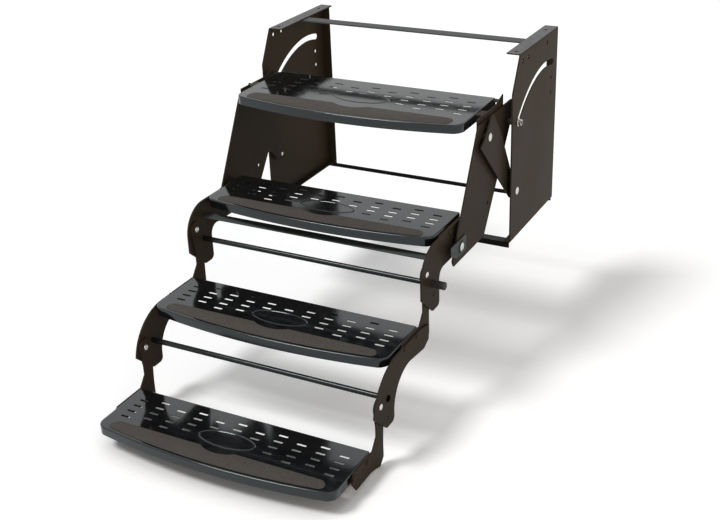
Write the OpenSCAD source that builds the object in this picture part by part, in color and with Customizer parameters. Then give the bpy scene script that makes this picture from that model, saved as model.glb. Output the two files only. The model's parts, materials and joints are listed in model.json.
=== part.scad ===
// Four-tread fold-out entry step for a caravan or camper.
// The housing hangs under the vehicle floor; the treads are drawn opened out.
// Frame: +X to the right seen from the front, +Y to the vehicle, +Z up.
// Origin: middle of the four floor bolts, on the top faces of the housing flanges.

/* [Treads] */
// Width of every tread
tread_w = 603; // [560:1:640]
// Depth of the top tread at its middle
top_tread_d = 254; // [240:1:262]
// Depth of the other treads at their middle
tread_d = 188; // [180:1:196]
// How far the top tread's front edge bows forward
top_bow = 36; // [20:1:44]
// How far the other front edges bow forward
low_bow = 27; // [16:1:36]
// Radius of the front corners
corner_r = 26; // [16:1:34]
// Height of the turned-down edge
skirt_h = 21; // [20:1:24]
// Thickness of the tread sheet
sheet_t = 2; // [1.5:0.1:2.5]

/* [Grip strips] */
// Top grip strip's rear edge, back from the middle of its tread's front edge
top_strip_w = 75; // [60:1:90]
// Rear edge of the other grip strips, back from the middle of their treads' front edges
strip_w = 58; // [46:1:68]
// Thickness of a grip strip
strip_t = 0.8; // [0.5:0.1:1.2]
// Margin between a grip strip and the tread's edges
strip_edge = 8; // [6:1:12]

/* [Stair] */
// Mounting plane down to the top tread
top_drop = 103; // [100:1:108]
// Bolt centre forward to the top tread's rear edge
step_out = 157; // [154:1:160]
// Rise from the second tread to the top tread
rise_1 = 211; // [207:1:214]
// Rise from the third tread to the second
rise_2 = 178; // [176:1:182]
// Rise from the fourth tread to the third
rise_3 = 178; // [176:1:182]
// Rear edge of the top tread forward to that of the second
run_1 = 218; // [214:1:222]
// Rear edge of the second tread forward to that of the third
run_2 = 242; // [240:1:246]
// Rear edge of the third tread forward to that of the fourth
run_3 = 242; // [240:1:246]

/* [Housing] */
// Thickness of the side plates and their flanges
plate_t = 3.5; // [3:0.1:4]
// Bolt centre to the front edge of a side plate
plate_front = 172; // [168:1:176]
// Bolt centre to the rear edge of a side plate
plate_back = 149; // [146:1:156]
// Height of a side plate
plate_h = 473; // [460:1:490]
// Bolt centre to the front end of the top flange
top_front = 126; // [122:1:132]
// Height of the sloping top part of the front edge
slope_h = 87; // [80:1:95]
// Width of the top flange
flange_w = 36; // [32:1:38]
// Width of the rear flange
rear_flange_w = 28; // [22:1:30]
// Width of the bottom flange
foot_flange_w = 18; // [14:1:20]
// Width of the top brace
brace_w = 34; // [28:1:44]
// Thickness of the top brace
brace_t = 4; // [3:0.5:5]
// Bolt centre to the middle of the top brace
brace_y = 4; // [0:1:10]
// Depth of the front angle's flat leg
angle_w = 26; // [22:1:30]
// Height of the front angle's upright leg
angle_h = 15; // [12:1:18]
// Thickness of the front angle
angle_t = 3; // [2.5:0.5:4]
// Height of the rear bar
bar_h = 10; // [8:1:12]
// Depth of the rear bar
bar_d = 6; // [5:0.5:8]

/* [Mounting] */
// Floor bolts, in from the outer face of a side plate
bolt_in = 18.5; // [16:0.5:20]
// Floor bolts, spacing front to back
bolt_span_y = 212; // [206:1:216]
// Diameter of a floor bolt hole
bolt_hole_d = 9; // [7:0.5:10]
// Diameter of the small side holes
side_hole_d = 11; // [9:0.5:12]

/* [Swing links] */
// Housing pivot behind the top tread's rear edge
pivot_back = 26; // [24:1:28]
// Housing pivot below the top tread
pivot_drop = 244; // [241:1:247]
// Link's upper pivot in front of the top tread's rear edge
crank_fwd = 125; // [122:1:127]
// Link's upper pivot below the top tread
crank_drop = 54; // [53:1:56]
// Guide pin behind the top tread's rear edge
pin_back = 22.5; // [21:0.5:24]
// Guide pin below the top tread
pin_drop = 63; // [61:1:65]
// Swing of the links from open to stowed
swing = 63; // [58:1:63]
// Tilt of the top tread for each degree of swing
tilt_ratio = 0.33; // [0.31:0.01:0.34]
// Thickness of links, risers, arms and legs
bar_t = 4; // [3:0.5:4.5]
// Width of a link's head
link_head_w = 96; // [80:1:110]
// Radius of a link's foot
link_foot_r = 20; // [16:1:24]
// Length of a bush between a link and its side plate
bush_l = 10; // [9:0.5:16]
// Diameter of a bush
bush_d = 34; // [24:1:36]
// Diameter of the link pivots and hinge pins
pivot_d = 10; // [8:0.5:11]
// Diameter of the guide pins where they run in the slots
guide_d = 14.5; // [12:0.5:15]
// Diameter of the guide pins' threads
pin_d = 9; // [7:0.5:10]

/* [Arms and legs] */
// Second hinge in front of the second tread's rear edge
hinge2_fwd = 52; // [50:1:54]
// Second hinge below the second tread
hinge2_drop = 62; // [61:1:64]
// Third hinge behind the third tread's rear edge
hinge3_back = 33; // [31:1:35]
// Third hinge above the third tread
hinge3_up = 113; // [112:0.5:115]
// Fourth hinge behind the fourth tread's rear edge
hinge4_back = 36; // [34:1:38]
// Fourth hinge above the fourth tread
hinge4_up = 91; // [90.5:0.5:93]
// How far an arm reaches in front of its tread's rear edge
arm_front = 238; // [234:1:242]
// How far an arm reaches below its tread
arm_drop = 156; // [150:1:160]
// Width of an arm's hanging part
arm_w = 94; // [88:1:98]
// Height of an arm's level part
arm_rail_h = 54; // [50:1:57]
// Radius of a hinge eye
eye_r = 21; // [18:0.5:23]
// Height of a leg's level part
leg_rail_h = 60; // [56:1:63]
// Diameter of the cross rods
rod_d = 13; // [10:0.5:15]
// Length of the hand grip on the upper cross rod
grip_l = 32; // [20:1:33]

/* [Hidden] */
$fn = 64;

// Fits and gaps
fit = 0.05;
layer_gap = 0.5;
arm_to_riser = 10;
riser_to_link = 7;
pin_gap = 0.7;
cut = 1;

// Layers across the width, from the tread outward
x_tread = tread_w / 2;
x_leg = x_tread + layer_gap;
x_arm = x_leg + bar_t + layer_gap;
x_riser = x_arm + bar_t + arm_to_riser;
x_link = x_riser + bar_t + riser_to_link;
x_bush = x_link + bar_t + layer_gap;
x_plate = x_bush + bush_l;
x_out = x_plate + plate_t;
x_bolt = x_out - bolt_in;

// Rear top edges of the treads, as [y, z]
edge_1 = [-step_out, -top_drop];
edge_2 = edge_1 - [run_1, rise_1];
edge_3 = edge_2 - [run_2, rise_2];
edge_4 = edge_3 - [run_3, rise_3];

// Pivots, as [y, z]
pivot = edge_1 + [pivot_back, -pivot_drop];
crank = edge_1 + [-crank_fwd, -crank_drop];
pin = edge_1 + [pin_back, -pin_drop];
hinge2 = edge_2 + [-hinge2_fwd, -hinge2_drop];
hinge3 = edge_3 + [hinge3_back, hinge3_up];
hinge4 = edge_4 + [hinge4_back, hinge4_up];

// Cross rods and bars, forward of and below the rear edge of the tread that carries them
stop_rod_fwd = 181;
stop_rod_drop = 100;
tie_rod_fwd = 172;
tie_rod_drop = 86;
bar_2_fwd = 159;
bar_2_drop = 48;
bar_2_w = 26;
bar_2_t = 4;
stop_rod = edge_2 - [stop_rod_fwd, stop_rod_drop];
tie_rod = edge_3 - [tie_rod_fwd, tie_rod_drop];
bar_2 = edge_2 - [bar_2_fwd, bar_2_drop];

// Rivets
rivet_d = 8;
head_d = 14;
head_t = 2.5;
rivet_drop = 12;
rivet_fwd = 24;
rivet_pitch = 60;
tread_rivets = [for (i = [0, 1]) -[rivet_fwd + i * rivet_pitch, rivet_drop]];

// Drop of the side pieces' top edges below a tread's face
leg_top = 1.5;

// Brackets between the top tread and the risers: a side leaf and two lugs welded to the tread's side
bracket_fwd = 4;
bracket_l = 161;
bracket_t = 3;
bracket_drop = 43;
rear_lug_w = 18;
front_lug_fwd = 98;
front_lug_w = 34;
upstand_l = 44;
upstand_h = 14;
lugs = [[bracket_fwd, rear_lug_w], [front_lug_fwd, front_lug_w]];
riser_rivets = [for (g = lugs) -[g[0] + g[1] / 2, bracket_drop - head_d / 2 - fit]];

// Riser outline
riser_top_drop = 14;
riser_lean_front = 0.54;
riser_blunt = 14;
riser_lean_back = 0.716;
riser_front = 167;
riser_back = 44;
riser_foot_drop = 306;
riser_hole_fwd = 108;
riser_hole_drop = 227;

// Arms: shoulders, crooks, toes and the ends behind the treads
arm_2_shoulder = 72;
arm_3_shoulder = 118;
arm_3_turn = 170;
arm_2_knee = 118;
arm_2_web = 83;
arm_2_crook = 24;
arm_3_crook = 82;
arm_2_toe = 14;
arm_heel_l = 38;
arm_heel_top = 13;
arm_heel_h = 62;
arm_heel_cut = 12;
arm_top = 6;
arm_toe_r = 12;
arm_toe_cut = 62;
arm_hole_fwd = 176;
arm_hole_drop = 131;
arm_hole_d = 6;
hinge2_eye_r = 22;
spacer_fwd = 12;
spacer_l = 120;

// Legs
leg_rail_l = 92;
leg_end_h = 48;
leg_end_cut = 16;
leg_back = 50;
leg_kink = 8;
leg_neck = 22;
leg_neck_low = 24;
leg_neck_high = 46;
leg_flare = 20;

// Pads that fill the gaps between the side pieces, as far as they reach along and below a tread
pad_fwd = 8;
pad_l = 80;
pad_top = 6;

// Swung position of a point that moves with the top tread, as [y, z]
function turn(v, a) = [v[0] * cos(a) - v[1] * sin(a), v[0] * sin(a) + v[1] * cos(a)];
function swung(p, a) = pivot + turn(crank - pivot, -a) + turn(p - crank, tilt_ratio * a);
slot_steps = 24;
slot_path = [for (i = [0:slot_steps]) swung(pin, swing * i / slot_steps)];
slot_half = guide_d / 2 + pin_gap;
function way(i) = slot_path[min(i + 1, slot_steps)] - slot_path[max(i - 1, 0)];
function side(i, s) = slot_path[i] + s * slot_half * [-way(i)[1], way(i)[0]] / norm(way(i));

// Points of an arc round c, from angle a0 to a1
arc_steps = 12;
function arc(c, r, a0, a1) = [for (i = [0:arc_steps]) let (a = a0 + (a1 - a0) * i / arc_steps)
    c + r * [cos(a), sin(a)]];

// An outline in Y and Z, drawn t thick along X from x
module sheet(x, t) {
    translate([x, 0, 0]) rotate([90, 0, 90]) linear_extrude(t) children();
}

// A round bar along X
module bar_x(p, x0, x1, d) {
    translate([x0, p[0], p[1]]) rotate([0, 90, 0]) cylinder(d = d, h = x1 - x0);
}

module both_sides() {
    children();
    mirror([1, 0, 0]) children();
}

module to_left() {
    mirror([1, 0, 0]) children();
}

// Plan of a tread: rear edge on Y = 0, bowed front edge with round corners
module tread_plan(w, d, bow, r) {
    bow_r = (w * w / 4 + bow * bow) / (2 * bow);
    mid_y = bow_r - d;
    corner_x = w / 2 - r;
    corner_y = mid_y - sqrt(pow(bow_r - r, 2) - corner_x * corner_x);
    intersection() {
        translate([0, mid_y]) circle(bow_r, $fn = 360);
        union() {
            translate([-w / 2, corner_y]) square([w, -corner_y]);
            translate([-corner_x, -d]) square([2 * corner_x, d]);
            for (s = [-1, 1]) translate([s * corner_x, corner_y]) circle(r);
        }
    }
}

// Pressed tread, open below
module tread_pan(edge, d, bow, rivets) {
    difference() {
        translate([0, edge[0], edge[1] - skirt_h]) linear_extrude(skirt_h)
            tread_plan(tread_w, d, bow, corner_r);
        translate([0, edge[0] - sheet_t, edge[1] - skirt_h - cut])
            linear_extrude(skirt_h - sheet_t + cut)
            tread_plan(tread_w - 2 * sheet_t, d - 2 * sheet_t, bow, corner_r - sheet_t);
        both_sides() for (p = rivets)
            bar_x(edge + p, x_tread - sheet_t - cut, x_tread + cut, rivet_d);
    }
}

// Gritty strip along a tread's front edge
module grip_strip(edge, d, bow, w) {
    translate([0, edge[0] - strip_edge, edge[1]]) linear_extrude(strip_t) intersection() {
        tread_plan(tread_w - 2 * strip_edge, d - 2 * strip_edge, bow, corner_r - strip_edge);
        translate([-tread_w / 2, strip_edge - d]) square([tread_w, w]);
    }
}

// Rivets that hold a stack of side pieces to a tread, out to x1
module rivet_set(edge, points, x1) {
    both_sides() for (p = points) {
        bar_x(edge + p, x_tread - sheet_t - head_t, x_tread - sheet_t, head_d);
        bar_x(edge + p, x_tread - sheet_t - fit, x1 + fit, rivet_d - 2 * fit);
        bar_x(edge + p, x1, x1 + head_t, head_d);
    }
}

// Housing
module side_plate_shape() {
    back = plate_back;
    difference() {
        union() {
            sheet(x_plate, plate_t) polygon([[-top_front, 0], [back, 0], [back, -plate_h],
                [-plate_front, -plate_h], [-plate_front, -slope_h]]);
            translate([x_out - flange_w, -top_front, -plate_t])
                cube([flange_w, top_front + back, plate_t]);
            translate([x_out - rear_flange_w, back - plate_t, -plate_h])
                cube([rear_flange_w, plate_t, plate_h]);
            translate([x_out - foot_flange_w, -plate_front, -plate_h])
                cube([foot_flange_w, plate_front + back, plate_t]);
        }
        for (y = [-1, 1] * bolt_span_y / 2) translate([x_bolt, y, -plate_t - cut])
            cylinder(d = bolt_hole_d, h = plate_t + 2 * cut);
        sheet(x_plate - cut, plate_t + 2 * cut) guide_slot();
        bar_x(pivot, x_plate - cut, x_out + cut, pivot_d);
        side_holes();
    }
}

module guide_slot() {
    first = atan2(way(0)[1], way(0)[0]);
    last = atan2(way(slot_steps)[1], way(slot_steps)[0]);
    polygon(concat([for (i = [1:slot_steps - 1]) side(i, 1)],
        arc(slot_path[slot_steps], slot_half, last + 90, last - 90),
        [for (i = [slot_steps - 1:-1:1]) side(i, -1)],
        arc(slot_path[0], slot_half, first - 90, first - 270)));
}

// Spare holes under the top flange and near the rear edge
top_hole_fwd = 110;
top_hole_pitch = 40;
top_hole_back = 66;
top_hole_drop = 21;
rear_hole_in = 46;
rear_hole_drop = 122;
rear_hole_pitch = 39;
module side_holes() {
    for (y = [-top_hole_fwd, top_hole_pitch - top_hole_fwd, top_hole_back])
        bar_x([y, -top_hole_drop], x_plate - cut, x_out + cut, side_hole_d);
    for (drop = [rear_hole_drop, rear_hole_drop + rear_hole_pitch])
        bar_x([plate_back - rear_hole_in, -drop], x_plate - cut, x_out + cut, side_hole_d);
}

module side_plate_right() {
    color("#2c2926") side_plate_shape();
}

module side_plate_left() {
    color("#2c2926") to_left() side_plate_shape();
}

module top_brace() {
    color("#3a3a3a") translate([-x_plate, brace_y - brace_w / 2, -plate_t - brace_t])
        cube([2 * x_plate, brace_w, brace_t]);
}

module front_angle() {
    color("#222222") translate([-x_plate, -plate_front, -plate_h - angle_h]) {
        cube([2 * x_plate, angle_t, angle_h]);
        translate([0, 0, angle_h - angle_t]) cube([2 * x_plate, angle_w, angle_t]);
    }
}

module rear_bar() {
    color("#222222") translate([-x_plate, plate_back - bar_d, -plate_h - bar_h])
        cube([2 * x_plate, bar_d, bar_h]);
}

// Pivot studs of the links, flush on the inside
module link_pivots() {
    color("silver") both_sides() {
        bar_x(pivot, x_link, x_out, pivot_d - 2 * fit);
        bar_x(pivot, x_out, x_out + head_t, 2 * pivot_d);
    }
}

module link_bushes() {
    color("#1c1c1c") both_sides() difference() {
        bar_x(pivot, x_bush, x_plate, bush_d);
        bar_x(pivot, x_link, x_plate + cut, pivot_d);
    }
}

// Swing links
link_l = norm(pivot - crank);
link_a = atan2(pivot[1] - crank[1], pivot[0] - crank[0]);
link_head = 24;
link_neck = 0.26;
link_turn = 80;
link_steps = 20;
link_foot = [for (i = [0:link_steps]) let (a = link_turn * (1 - 2 * i / link_steps))
    [link_l + link_foot_r * cos(a), link_foot_r * sin(a)]];
module link_shape() {
    sheet(x_link, bar_t) difference() {
        translate(crank) rotate(link_a) polygon(concat([[-link_head, -link_head_w / 2],
            [-link_head, link_head_w / 2], [link_l * link_neck, link_head_w / 2]], link_foot));
        translate(crank) circle(d = pivot_d);
        translate(pivot) circle(d = pivot_d);
    }
}

module link_right() {
    color("#35302b") link_shape();
}

module link_left() {
    color("#35302b") to_left() link_shape();
}

// Top tread with its brackets and risers
module tread_1() {
    color("#1b1d1f") tread_pan(edge_1, top_tread_d, top_bow, []);
}

module grip_strip_1() {
    color("#584e48") grip_strip(edge_1, top_tread_d, top_bow, top_strip_w);
}

module tread_bracket_shape() {
    difference() {
        translate([0, edge_1[0], edge_1[1]]) {
            translate([x_riser - bracket_t, -bracket_fwd - bracket_l, -bracket_drop])
                cube([bracket_t, bracket_l, bracket_drop - leg_top]);
            sheet(x_riser - bracket_t, bracket_t) translate([-bracket_fwd, -leg_top])
                polygon([[-upstand_l, 0], [0, 0], [0, upstand_h]]);
            for (g = lugs) translate([x_tread, -g[0] - g[1], -leg_top - bracket_t])
                cube([x_riser - x_tread, g[1], bracket_t]);
        }
        for (p = riser_rivets) bar_x(edge_1 + p, x_riser - bracket_t - cut, x_riser + cut, rivet_d);
    }
}

module tread_bracket_right() {
    color("#1f1e1d") tread_bracket_shape();
}

module tread_bracket_left() {
    color("#1f1e1d") to_left() tread_bracket_shape();
}

module riser_outline() {
    front_foot = -riser_front - riser_lean_front * (riser_foot_drop - riser_top_drop);
    back_foot = riser_back - riser_lean_back * (riser_foot_drop - pin_drop);
    polygon([[-riser_front, -riser_top_drop], [riser_back, -riser_top_drop], [riser_back, -pin_drop],
        [back_foot, -riser_foot_drop], [front_foot + riser_blunt, -riser_foot_drop],
        [front_foot + riser_lean_front * riser_blunt, riser_blunt - riser_foot_drop]]);
}

module riser_shape() {
    sheet(x_riser, bar_t) difference() {
        translate(edge_1) riser_outline();
        translate(pin) circle(d = pin_d);
        translate(crank) circle(d = pivot_d);
        translate(hinge2) circle(d = pivot_d);
        translate(edge_1 - [riser_hole_fwd, riser_hole_drop]) circle(d = pivot_d);
        for (p = riser_rivets) translate(edge_1 + p) circle(d = rivet_d);
    }
}

module riser_right() {
    color("#35302b") riser_shape();
}

module riser_left() {
    color("#35302b") to_left() riser_shape();
}

// Rivets that hold the top tread's brackets to the risers
module bracket_rivets() {
    inner = x_riser - bracket_t;
    outer = x_riser + bar_t;
    color("silver") both_sides() for (p = riser_rivets) {
        bar_x(edge_1 + p, inner - head_t, inner, head_d);
        bar_x(edge_1 + p, inner - fit, outer + fit, rivet_d - 2 * fit);
        bar_x(edge_1 + p, outer, outer + head_t, head_d);
    }
}

// Upper pivots of the links, fixed in the risers
crank_collar_d = 20;
module crank_pins() {
    color("silver") both_sides() {
        bar_x(crank, x_riser - head_t, x_riser, head_d);
        bar_x(crank, x_riser - fit, x_bush, pivot_d - 2 * fit);
        bar_x(crank, x_riser + bar_t, x_link - layer_gap, crank_collar_d);
        bar_x(crank, x_bush, x_bush + head_t, crank_collar_d);
    }
}

// Guide pins that run in the arc slots
guide_collar_d = 18;
thread_l = 12;
module guide_pins() {
    color("#2a2a2a") both_sides() {
        bar_x(pin, x_riser - head_t, x_riser, head_d);
        bar_x(pin, x_riser - fit, x_out + thread_l, pin_d - 2 * fit);
        bar_x(pin, x_riser + bar_t, x_plate - layer_gap, guide_collar_d);
        bar_x(pin, x_plate - layer_gap - fit, x_out + layer_gap, guide_d);
    }
}

nut_t = 7;
nut_af = 14;
washer_d = 20;
washer_t = 1.5;
module guide_nuts() {
    nut_x = x_out + layer_gap + washer_t;
    color("silver") both_sides() difference() {
        union() {
            bar_x(pin, x_out + layer_gap, nut_x, washer_d);
            translate([nut_x, pin[0], pin[1]]) rotate([0, 90, 0])
                cylinder(d = nut_af / cos(30), h = nut_t, $fn = 6);
        }
        bar_x(pin, x_out, nut_x + nut_t + cut, pin_d);
    }
}

// Plated plates round the second hinge
hinge_plate_t = 2.5;
hinge_plate_tip = 63;
hinge_plate_back = 25;
hinge_plate_up = 23;
hinge_plate_low = 18;
hinge_plate_cut = 5;
module hinge_plate_shape() {
    sheet(x_riser + bar_t, hinge_plate_t) difference() {
        translate(hinge2) polygon([[-hinge_plate_tip, hinge_plate_up],
            [hinge_plate_back - hinge_plate_cut, hinge_plate_up],
            [hinge_plate_back, hinge_plate_up - hinge_plate_cut], [hinge_plate_back, -hinge_plate_low],
            [-hinge_plate_back, -hinge_plate_low], [-hinge_plate_tip, 0]]);
        translate(hinge2) circle(d = pivot_d);
    }
}

module hinge_plate_right() {
    color("#8d9388") hinge_plate_shape();
}

module hinge_plate_left() {
    color("#8d9388") to_left() hinge_plate_shape();
}

module hinge_pins_2() {
    outer = x_riser + bar_t + hinge_plate_t;
    color("silver") both_sides() {
        bar_x(hinge2, x_arm - layer_gap - head_t, x_arm - layer_gap, head_d);
        bar_x(hinge2, x_arm - layer_gap, outer, pivot_d - 2 * fit);
        bar_x(hinge2, x_arm + bar_t + layer_gap, x_riser, crank_collar_d);
        bar_x(hinge2, outer, outer + head_t, crank_collar_d);
    }
}

// Hanging part of an arm, from its tread's rear edge: shoulder, knee, toe and crook, ending on the rail
function arm_hang(shoulder, last, knee, drop, crook, rail) = concat(
    arc([shoulder - arm_front, -arm_top - shoulder], shoulder, 90, last), knee,
    arc([arm_toe_cut - arm_front, arm_toe_r - drop], arm_toe_r, 225, 270),
    arc([arm_w - arm_front - arm_toe_r, arm_toe_r - drop], arm_toe_r, 270, 360),
    arc([arm_w - arm_front + crook, -rail - crook], crook, 180, 90));

// Second tread
module tread_2() {
    color("#1b1d1f") tread_pan(edge_2, tread_d, low_bow, tread_rivets);
}

module grip_strip_2() {
    color("#584e48") grip_strip(edge_2, tread_d, low_bow, strip_w);
}

module arm_2_shape() {
    difference() {
        union() {
            sheet(x_arm, bar_t) translate(edge_2) polygon(concat(
                arm_hang(arm_2_shoulder, 180, [[-arm_front, -arm_2_knee]], arm_drop + arm_2_toe,
                    arm_2_crook, arm_2_web),
                arc(hinge2 - edge_2, hinge2_eye_r, -90, 0), [[0, -arm_rail_h], [0, -arm_top]]));
            sheet(x_tread, x_arm - x_tread) translate(edge_2 - [spacer_fwd + spacer_l, skirt_h])
                square([spacer_l, skirt_h - arm_top]);
        }
        bar_x(hinge2, x_arm - cut, x_arm + bar_t + cut, pivot_d);
        bar_x(hinge3, x_arm - cut, x_arm + bar_t + cut, pivot_d);
        bar_x(stop_rod, x_arm - cut, x_arm + bar_t + cut, rod_d);
        bar_x(edge_2 - [arm_hole_fwd, arm_hole_drop], x_arm - cut, x_arm + bar_t + cut, arm_hole_d);
        for (p = tread_rivets) bar_x(edge_2 + p, x_tread - cut, x_arm + bar_t + cut, rivet_d);
    }
}

module arm_2_right() {
    color("#2e2a26") arm_2_shape();
}

module arm_2_left() {
    color("#2e2a26") to_left() arm_2_shape();
}

module rivets_2() {
    color("silver") rivet_set(edge_2, tread_rivets, x_arm + bar_t);
}

module cross_bar_2() {
    color("#4a4a4a") translate([-x_arm, bar_2[0] - bar_2_w / 2, bar_2[1] - bar_2_t / 2])
        cube([2 * x_arm, bar_2_w, bar_2_t]);
}

// Rod that the third tread's legs rest against
module stop_rod_2() {
    color("#151515") bar_x(stop_rod, -x_arm - bar_t, x_arm + bar_t, rod_d - 2 * fit);
}

// Hand grip on the rod's right end
rod_grip_d = 19;
module rod_grip() {
    color("#0e0e0e") bar_x(stop_rod, x_arm + bar_t, x_arm + bar_t + grip_l, rod_grip_d);
}

// Hinge pins between an arm and the next tread's leg, fixed in the arm
module arm_pins(p) {
    inner = x_leg - layer_gap;
    both_sides() {
        bar_x(p, inner - head_t, inner, head_d);
        bar_x(p, inner, x_arm + bar_t, pivot_d - 2 * fit);
        bar_x(p, x_arm + bar_t, x_arm + bar_t + head_t, head_d);
    }
}

module hinge_pins_3() {
    color("silver") arm_pins(hinge3);
}

// Outline of a leg, from its tread's rear edge to the eye
module leg_outline(eye) {
    polygon(concat([[-leg_rail_l, -leg_end_cut], [leg_end_cut / 2 - leg_rail_l, -leg_top],
        [leg_neck - leg_flare, -leg_top], [leg_neck, leg_neck_low], [leg_neck, leg_neck_high]],
        arc(eye, eye_r, 180, 0), [[leg_back, -leg_kink], [leg_back, leg_end_cut - leg_rail_h],
        [leg_back - leg_end_cut, -leg_rail_h], [-leg_kink, -leg_end_h],
        [leg_end_cut - leg_rail_l, -leg_end_h], [-leg_rail_l, -leg_end_h / 2]]));
}

// Pad that fills the gap inside a side piece
module gap_pad(edge, x) {
    sheet(x, layer_gap) translate(edge - [pad_fwd + pad_l, skirt_h])
        square([pad_l, skirt_h - pad_top]);
}

module leg_shape(edge, eye) {
    difference() {
        union() {
            sheet(x_leg, bar_t) translate(edge) leg_outline(eye);
            gap_pad(edge, x_tread);
        }
        bar_x(edge + eye, x_leg - cut, x_leg + bar_t + cut, pivot_d);
        for (p = tread_rivets) bar_x(edge + p, x_tread - cut, x_leg + bar_t + cut, rivet_d);
    }
}

// Third tread
module tread_3() {
    color("#1b1d1f") tread_pan(edge_3, tread_d, low_bow, tread_rivets);
}

module grip_strip_3() {
    color("#584e48") grip_strip(edge_3, tread_d, low_bow, strip_w);
}

module leg_3_right() {
    color("#2e2a26") leg_shape(edge_3, hinge3 - edge_3);
}

module leg_3_left() {
    color("#2e2a26") to_left() leg_shape(edge_3, hinge3 - edge_3);
}

module arm_3_shape() {
    difference() {
        union() {
            sheet(x_arm, bar_t) translate(edge_3) polygon(concat(
                arm_hang(arm_3_shoulder, arm_3_turn, [], arm_drop, arm_3_crook, arm_rail_h),
                [[arm_heel_cut, -arm_heel_h], [arm_heel_l, arm_heel_cut - arm_heel_h],
                [arm_heel_l, -arm_heel_top], [0, -arm_top]]));
            gap_pad(edge_3, x_leg + bar_t);
        }
        bar_x(hinge4, x_arm - cut, x_arm + bar_t + cut, pivot_d);
        bar_x(tie_rod, x_arm - cut, x_arm + bar_t + cut, rod_d);
        bar_x(edge_3 - [arm_hole_fwd, arm_hole_drop], x_arm - cut, x_arm + bar_t + cut, arm_hole_d);
        for (p = tread_rivets) bar_x(edge_3 + p, x_leg, x_arm + bar_t + cut, rivet_d);
    }
}

module arm_3_right() {
    color("#2e2a26") arm_3_shape();
}

module arm_3_left() {
    color("#2e2a26") to_left() arm_3_shape();
}

module rivets_3() {
    color("silver") rivet_set(edge_3, tread_rivets, x_arm + bar_t);
}

module tie_rod_3() {
    color("#151515") {
        bar_x(tie_rod, -x_arm - bar_t, x_arm + bar_t, rod_d - 2 * fit);
        both_sides() bar_x(tie_rod, x_arm + bar_t, x_arm + bar_t + head_t, rod_d + head_t);
    }
}

module hinge_pins_4() {
    color("silver") arm_pins(hinge4);
}

// Fourth tread
module tread_4() {
    color("#1b1d1f") tread_pan(edge_4, tread_d, low_bow, tread_rivets);
}

module grip_strip_4() {
    color("#584e48") grip_strip(edge_4, tread_d, low_bow, strip_w);
}

module leg_4_right() {
    color("#2e2a26") leg_shape(edge_4, hinge4 - edge_4);
}

module leg_4_left() {
    color("#2e2a26") to_left() leg_shape(edge_4, hinge4 - edge_4);
}

module rivets_4() {
    color("silver") rivet_set(edge_4, tread_rivets, x_leg + bar_t);
}

side_plate_left();
side_plate_right();
top_brace();
front_angle();
rear_bar();
link_pivots();
link_bushes();
link_left();
link_right();
tread_1();
grip_strip_1();
tread_bracket_left();
tread_bracket_right();
riser_left();
riser_right();
bracket_rivets();
crank_pins();
guide_pins();
guide_nuts();
hinge_plate_left();
hinge_plate_right();
hinge_pins_2();
tread_2();
grip_strip_2();
arm_2_left();
arm_2_right();
rivets_2();
cross_bar_2();
stop_rod_2();
rod_grip();
hinge_pins_3();
tread_3();
grip_strip_3();
leg_3_left();
leg_3_right();
arm_3_left();
arm_3_right();
rivets_3();
tie_rod_3();
hinge_pins_4();
tread_4();
grip_strip_4();
leg_4_left();
leg_4_right();
rivets_4();
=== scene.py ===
import json
import math
from collections import namedtuple

import bmesh
import bpy
from bpy.props import FloatProperty, FloatVectorProperty, IntProperty, PointerProperty
from mathutils import Matrix, Vector


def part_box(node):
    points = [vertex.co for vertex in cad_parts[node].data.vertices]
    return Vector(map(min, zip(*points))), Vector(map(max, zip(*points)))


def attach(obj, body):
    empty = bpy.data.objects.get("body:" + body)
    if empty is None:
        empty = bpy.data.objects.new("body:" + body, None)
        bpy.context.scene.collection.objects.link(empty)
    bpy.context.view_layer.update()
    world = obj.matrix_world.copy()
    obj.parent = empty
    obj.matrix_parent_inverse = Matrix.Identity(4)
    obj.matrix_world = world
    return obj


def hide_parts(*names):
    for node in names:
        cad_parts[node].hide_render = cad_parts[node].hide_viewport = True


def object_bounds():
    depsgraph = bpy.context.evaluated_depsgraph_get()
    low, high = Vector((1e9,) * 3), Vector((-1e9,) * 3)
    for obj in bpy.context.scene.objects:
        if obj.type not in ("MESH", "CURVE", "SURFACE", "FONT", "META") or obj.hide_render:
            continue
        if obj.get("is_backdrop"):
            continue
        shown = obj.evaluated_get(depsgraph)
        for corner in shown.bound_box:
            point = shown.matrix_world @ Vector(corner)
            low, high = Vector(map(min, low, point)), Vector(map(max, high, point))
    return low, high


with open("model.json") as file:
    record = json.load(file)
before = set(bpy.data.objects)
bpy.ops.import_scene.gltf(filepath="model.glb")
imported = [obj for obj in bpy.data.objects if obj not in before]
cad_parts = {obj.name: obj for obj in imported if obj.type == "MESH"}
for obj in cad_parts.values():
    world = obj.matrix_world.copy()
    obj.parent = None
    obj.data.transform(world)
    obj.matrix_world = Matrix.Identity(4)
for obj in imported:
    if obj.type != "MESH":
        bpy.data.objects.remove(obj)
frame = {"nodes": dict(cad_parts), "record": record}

bl_info = {
    "name": "Fold-out entry step",
    "version": (1, 0, 0),
    "blender": (4, 5, 0),
    "location": "View3D > Sidebar > Entry step",
    "description": "Dresses a four-tread entry step: treads, side frames, hardware and stage",
    "category": "Add Mesh",
}

MM = 0.001
BODY_OF = {n: b for b, ns in frame["record"]["behaviour"]["bodies"].items() for n in ns}
SLOT_OF = {s["node"]: s["material_slot"] for s in frame["record"]["subparts"]}
PAINTS = {m["slot"]: m["base_color"] for m in frame["record"]["materials"]}
TREADS = {i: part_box(f"tread_{i}") for i in (1, 2, 3, 4)}

# Distances in metres below which points count as one.
TOUCH = 1e-6          # on one line or plane
CAD_MERGE = 2e-6      # doubles among a CAD node's loose triangles
CORNER_SNAP = 1e-5    # at one corner
FOLD_SNAP = 2e-5      # on a folded plate's outer planes

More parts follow.
